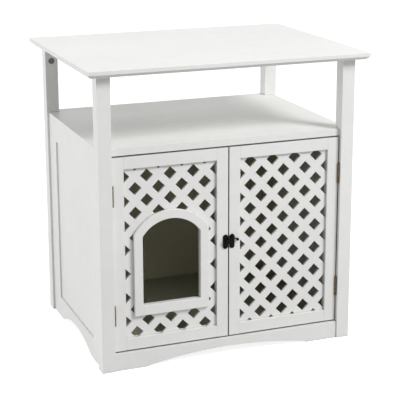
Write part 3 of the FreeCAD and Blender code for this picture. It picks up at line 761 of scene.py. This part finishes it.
@dataclass
class Carcass:
    """Posts, boards and aprons that stand still."""

    posts: tuple[str, ...] = ("post_front_left", "post_front_right", "post_rear_left", "post_rear_right")
    room_boards: tuple[str, ...] = ("shelf", "back_panel", "door_stop")
    # A darker painted shade for the floor of the litter room.
    room_floor_shade: Colour = (0.40, 0.39, 0.30)
    aprons: tuple[str, ...] = ("front_apron", "rear_apron")
    post_radius: float = 0.8 * MM
    board_radius: float = 0.5 * MM
    cam_radius: float = 7.5 * MM
    cam_cross: float = 8.5 * MM
    cam_arm_share: float = 0.3
    cam_cross_depth: float = 5.0 * MM
    cam_edge: float = 0.25 * MM

    def build(self) -> None:
        """Make the posts and boards, and finish the hidden fixings."""
        for post in self.posts:
            # Posts take a weaker painted shade in their gaps than the default.
            Softened(post, SatinPaint(Axis.Z, True, gap_shade_strength=0.6), self.post_radius, 3).build()
        for board in self.room_boards:
            Softened(board, SatinPaint(Axis.X, True), self.board_radius).build()
        # The room's floor board takes the darker painted shade.
        shaded_floor_paint = SatinPaint(Axis.X, True, room_shade=self.room_floor_shade)
        Softened("floor_board", shaded_floor_paint, self.board_radius).build()
        for apron in self.aprons:
            Softened(apron, SatinPaint(Axis.X), self.board_radius).build()
        self._cam_locks()
        keep_solid("cam_bolts", ZincPlate())
        keep_solid("wood_dowels", Beech())

    def _cam_locks(self) -> None:
        """Cut the screwdriver cross into the drums of the cam locks."""
        drums = welded_copy("cam_lock_nuts")
        low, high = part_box("cam_lock_nuts")
        middles = (low.x + self.cam_radius, high.x - self.cam_radius)
        arm = self.cam_arm_share * self.cam_cross
        spin = Matrix.Rotation(math.pi / 4, 4, "Y") @ Matrix.Rotation(math.pi / 2, 4, "X")
        for across in middles:
            for face in (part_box("post_front_left")[1].y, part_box("post_rear_left")[0].y):
                cutter = cross_cutter(self.cam_cross, arm, self.cam_cross_depth)
                cutter.data.transform(Matrix.Translation((across, face, (low.z + high.z) / 2)) @ spin)
                carve(drums, cutter)
        soften(drums, self.cam_edge)
        install(drums, ZincPlate(), "cam_lock_nuts")


@dataclass
class SideFrame:
    """One side: two stiles, two rails and the panel let into them."""

    side: str
    radius: float = 0.35 * MM
    # Strength of the painted shade in the frame's gaps.
    gap_shade_strength: float = 0.25

    def build(self) -> None:
        """Make the frame's members and its panel."""
        upright = SatinPaint(Axis.Z, True, gap_shade_strength=self.gap_shade_strength)
        for row in ("front", "rear"):
            Softened(f"{self.side}_side_stile_{row}", upright, self.radius).build()
        for level in ("top", "bottom"):
            Softened(f"{self.side}_side_rail_{level}", SatinPaint(Axis.Y, True, gap_shade_strength=self.gap_shade_strength),
                     self.radius).build()
        Softened(f"{self.side}_side_panel", upright, self.radius).build()


@dataclass
class Door:
    """One door: its frame and the lattice board let into it."""

    side: str
    radius: float = 0.45 * MM
    lattice_radius: float = 0.3 * MM

    def build(self) -> None:
        """Make the frame's members and the lattice."""
        for which in ("hinge", "meeting"):
            Softened(f"{self.side}_door_{which}_stile", SatinPaint(Axis.Z), self.radius).build()
        for level in ("top", "bottom"):
            Softened(f"{self.side}_door_rail_{level}", SatinPaint(Axis.X), self.radius).build()
        # The lattice takes a weak painted shade in its gaps.
        Softened(f"{self.side}_door_lattice", SatinPaint(Axis.Z, gap_shade_strength=0.35), self.lattice_radius).build()


@dataclass
class EntranceTrim:
    """The arched frame round the cat entrance, rounded along both edges."""

    radius: float = 1.1 * MM

    def build(self) -> None:
        """Make the trim."""
        # The trim takes a weak painted shade in its gaps.
        Softened("entrance_trim", SatinPaint(Axis.Z, gap_shade_strength=0.3), self.radius, 3).build()


@dataclass
class Screw:
    """A screw modelled at the origin: its head faces +Z and its shank runs down to a point. The cross
    in the head is given as shares of the head's width."""

    head: float
    shank: float
    length: float
    head_height: float
    domed: bool = False
    sides: int = 28
    point_share: float = 0.25
    tip_ratio: float = 0.15
    cross_share: float = 0.58
    arm_share: float = 0.15
    edge: float = 0.06 * MM

    def model(self) -> bpy.types.Object:
        """Model the screw once.

        Returns:
            The pattern, to be copied and then removed.
        """
        deselect_all()
        bpy.ops.mesh.primitive_cylinder_add(vertices=self.sides, radius=self.head / 2,
                                            depth=self.head_height, location=(0, 0, -self.head_height / 2))
        screw = bpy.context.object
        settle(screw)
        with editing(screw) as mesh:
            if self.domed:
                pick_faces(mesh, screw, lambda face: face.normal.z > 0.5)
                self._round_over()
            pick_faces(mesh, screw, lambda face: face.normal.z < -0.5)
            if not self.domed:
                self._draw_in(self.shank / self.head)
            bpy.ops.mesh.inset(thickness=0.02 * self.shank)
            if self.domed:
                self._draw_in(self.shank / self.head)
            point = self.point_share * self.length
            self._run_down(self.length - point)
            self._run_down(point)
            self._draw_in(self.tip_ratio)
        cross = cross_cutter(self.cross_share * self.head, self.arm_share * self.head, 1.1 * self.head_height)
        carve(screw, cross)
        soften(screw, self.edge, 1, 50.0)
        return screw

    @staticmethod
    def _draw_in(ratio: float) -> None:
        """Shrink the selected face within its plane.

        Args:
            ratio: Its new width over its old one.
        """
        bpy.ops.transform.resize(value=(ratio, ratio, 1))

    @staticmethod
    def _run_down(length: float) -> None:
        """Extrude the selected face downwards.

        Args:
            length: How far.
        """
        bpy.ops.mesh.extrude_region_move(TRANSFORM_OT_translate={"value": (0, 0, -length)})

    def _round_over(self) -> None:
        """Dome the selected top face: sink it, then draw rings in and up from it."""
        bpy.ops.transform.translate(value=(0, 0, -0.55 * self.head_height))
        for inset, lift in ((0.06, 0.22), (0.09, 0.17), (0.12, 0.11), (0.12, 0.05)):
            bpy.ops.mesh.inset(thickness=inset * self.head)
            bpy.ops.transform.translate(value=(0, 0, lift * self.head_height))


def drive_screws(pattern: bpy.types.Object, node: str, seats: Sequence[Matrix], finish: Finish,
                 first_turn: float, turn_step: float) -> None:
    """Put a copy of a screw in each seat, each with its cross at another angle.

    Args:
        pattern: The modelled screw.
        node: The solid that the screws stand for.
        seats: Where each screw stands.
        finish: Their finish.
        first_turn: The first cross's angle, in radians.
        turn_step: How much further each next cross is turned.
    """
    copies = [copy_of(pattern, node, seat @ Matrix.Rotation(first_turn + turn_step * index, 4, "Z"))
              for index, seat in enumerate(seats)]
    install(merged(f"{node}_driven", copies), finish, node)


@dataclass
class Hinges:
    """The four butt hinges with their screws and pins."""

    levels: tuple[str, ...] = ("upper", "lower")
    screw_spacing: float = 22.5 * MM
    screw_depth: float = -208.5 * MM
    post_face: float = 268.8 * MM
    door_face: float = 268.7 * MM
    first_turn: float = 0.4
    turn_step: float = 1.1
    screw: Screw = field(default_factory=lambda: Screw(4.4 * MM, 2.4 * MM, 12.0 * MM, 1.2 * MM))

    def build(self) -> None:
        """Make leaves, pins and screws."""
        for side in ("left", "right"):
            for level in self.levels:
                for where in ("frame", "door"):
                    Softened(f"{side}_{level}_hinge_{where}_leaf", AgedBrass(), 0.2 * MM).build()
                Softened(f"{side}_{level}_hinge_pin", AgedBrass(), 0.3 * MM, 3).build()
        pattern = self.screw.model()
        rows = {"hinge_screws_posts": [(-self.post_face, -1), (self.post_face, 1)],
                "hinge_screws_left_door": [(-self.door_face, 1)],
                "hinge_screws_right_door": [(self.door_face, -1)]}
        for node, faces in rows.items():
            seats = [seat for across, way in faces for seat in self._seats(across, way)]
            drive_screws(pattern, node, seats, AgedBrass(), self.first_turn, self.turn_step)
        bpy.data.objects.remove(pattern)

    def _seats(self, across: float, way: int) -> list[Matrix]:
        """Where the screws of one row of leaves stand.

        Args:
            across: Where the heads' faces lie across the cabinet.
            way: 1 or -1, the direction in which the screws point.

        Returns:
            One seat for each screw.
        """
        pins = [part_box(f"left_{level}_hinge_pin") for level in self.levels]
        heights = [(low.z + high.z) / 2 + step * self.screw_spacing
                   for low, high in pins for step in (-0.5, 0.5)]
        turn = Matrix.Rotation(-way * math.pi / 2, 4, "Y")
        return [Matrix.Translation((across, self.screw_depth, up)) @ turn for up in heights]


@dataclass
class Latch:
    """The hook latch: two plates, the pivoted lever with its ball, and the stud it drops over."""

    across: float = 7.8 * MM
    face: float = -217.5 * MM
    low: float = 254.0 * MM
    high: float = 279.0 * MM
    first_turn: float = 0.5
    turn_step: float = 0.9
    screw: Screw = field(default_factory=lambda: Screw(3.6 * MM, 2.0 * MM, 9.0 * MM, 0.8 * MM, True))

    def build(self) -> None:
        """Make the plates, the moving lever and the small screws."""
        black = BlackEnamel()
        for node, radius in (("catch_plate", 0.45), ("latch_plate", 0.45), ("catch_stud", 0.35),
                             ("latch_pivot", 0.35), ("latch_lever", 0.3)):
            Softened(node, black, radius * MM, 3).build()
        pattern = self.screw.model()
        spots = {"catch_plate_screws": [(-self.across, self.low), (-self.across, self.high)],
                 "latch_plate_screw": [(self.across, self.low)]}
        turn = Matrix.Rotation(math.pi / 2, 4, "X")
        depth = self.face - self.screw.head_height
        for node, places in spots.items():
            seats = [Matrix.Translation((across, depth, up)) @ turn for across, up in places]
            drive_screws(pattern, node, seats, black, self.first_turn, self.turn_step)
        bpy.data.objects.remove(pattern)


# ---- studio -------------------------------------------------------------------------------

@dataclass(frozen=True)
class Softbox:
    """A square area lamp that looks at the cabinet from far off. A white surface that faces a lamp
    of brightness 1 renders as white."""

    name: str
    toward: tuple[float, float, float]
    brightness: float
    size: float
    distance: float = 5.0
    target: tuple[float, float, float] = (0.0, 0.0, 0.35)

    def build(self) -> None:
        """Hang the lamp."""
        lamp = bpy.data.lights.new(self.name, "AREA")
        lamp.energy = self.brightness * (math.pi * self.distance) ** 2
        lamp.size = self.size
        holder = bpy.data.objects.new(self.name, lamp)
        away = Vector(self.toward).normalized()
        holder.location = Vector(self.target) + self.distance * away
        holder.rotation_euler = (-away).to_track_quat("-Z", "Y").to_euler()
        bpy.context.collection.objects.link(holder)


@dataclass
class Studio:
    """Camera, floor, lamps and surroundings."""

    camera_place: tuple[float, float, float] = (-1.016223, -2.691714, 1.133347)
    yaw: float = 20.965
    pitch: float = 14.263
    roll: float = -0.178
    focal_pixels: float = 1261.371
    image_width: float = 400.0
    drop_pixels: float = 40.0
    sensor: float = 36.0
    far_plane: float = 60.0
    floor_span: float = 60.0
    ambient: float = 0.42
    floor_colour: Colour = (0.42, 0.42, 0.42)
    floor_glow: float = 0.85
    lamps: tuple[Softbox, ...] = (
        Softbox("key", (0.472, -0.604, 0.643), 0.74, 1.5),
        Softbox("left", (-0.981, 0.086, 0.174), 0.46, 2.4),
        Softbox("right", (0.966, 0.0, 0.259), 0.25, 2.4),
        Softbox("rear", (0.0, 0.766, 0.643), 0.10, 2.4),
    )

    def build(self) -> None:
        """Set everything up."""
        self._camera()
        self._floor()
        self._world()
        for lamp in self.lamps:
            lamp.build()
        bpy.context.scene.view_settings.view_transform = "Standard"

    def _camera(self) -> None:
        """Stand the camera where the photograph was taken from."""
        lens = bpy.data.cameras.new("camera")
        lens.sensor_width = self.sensor
        lens.lens = self.focal_pixels / self.image_width * self.sensor
        lens.shift_y = -self.drop_pixels / self.image_width
        lens.clip_end = self.far_plane
        camera = bpy.data.objects.new("camera", lens)
        turn = (Matrix.Rotation(-math.radians(self.yaw), 4, "Z")
                @ Matrix.Rotation(math.pi / 2 - math.radians(self.pitch), 4, "X")
                @ Matrix.Rotation(math.radians(self.roll), 4, "Z"))
        camera.matrix_world = Matrix.Translation(self.camera_place) @ turn
        bpy.context.collection.objects.link(camera)
        bpy.context.scene.camera = camera

    def _floor(self) -> None:
        """Lay a pale floor that shows white to the camera and still takes the shadow."""
        deselect_all()
        bpy.ops.mesh.primitive_plane_add(size=self.floor_span)
        floor = bpy.context.object
        floor.name = "floor"
        graph = Graph("pale_floor")
        grey = graph.node("ShaderNodeBsdfDiffuse", values={"Color": (*self.floor_colour, 1.0)})
        seen = graph.node("ShaderNodeLightPath", output="Is Camera Ray")
        mirrored = graph.node("ShaderNodeLightPath", output="Is Glossy Ray")
        glow = graph.node("ShaderNodeEmission", values={"Strength": self.floor_glow * seen.greater(mirrored)})
        graph.node_output(graph.node("ShaderNodeAddShader", values={0: grey, 1: glow}))
        floor.data.materials.append(graph.material)

    def _world(self) -> None:
        """Surround the set with dim light that the camera and shiny surfaces see as white."""
        world = bpy.data.worlds.new("surroundings")
        world.use_nodes = True
        bpy.context.scene.world = world
        tree = world.node_tree
        path = tree.nodes.new("ShaderNodeLightPath")
        shown = tree.nodes.new("ShaderNodeMath")
        shown.operation = "MAXIMUM"
        for index, ray in enumerate(("Is Camera Ray", "Is Glossy Ray")):
            tree.links.new(path.outputs[ray], shown.inputs[index])
        strength = tree.nodes.new("ShaderNodeMapRange")
        strength.inputs["To Min"].default_value = self.ambient
        strength.inputs["To Max"].default_value = 1.0
        tree.links.new(shown.outputs[0], strength.inputs["Value"])
        background = tree.nodes["Background"]
        background.inputs["Color"].default_value = (1.0, 1.0, 1.0, 1.0)
        tree.links.new(strength.outputs[0], background.inputs["Strength"])


def main() -> None:
    """Build the cabinet piece by piece, then the studio."""
    logging.basicConfig(level=logging.INFO, format="%(name)s: %(message)s")
    Tabletop().build()
    Carcass().build()
    for side in ("left", "right"):
        SideFrame(side).build()
        Door(side).build()
    EntranceTrim().build()
    Hinges().build()
    Latch().build()
    Studio().build()


if __name__ == "__main__":
    main()
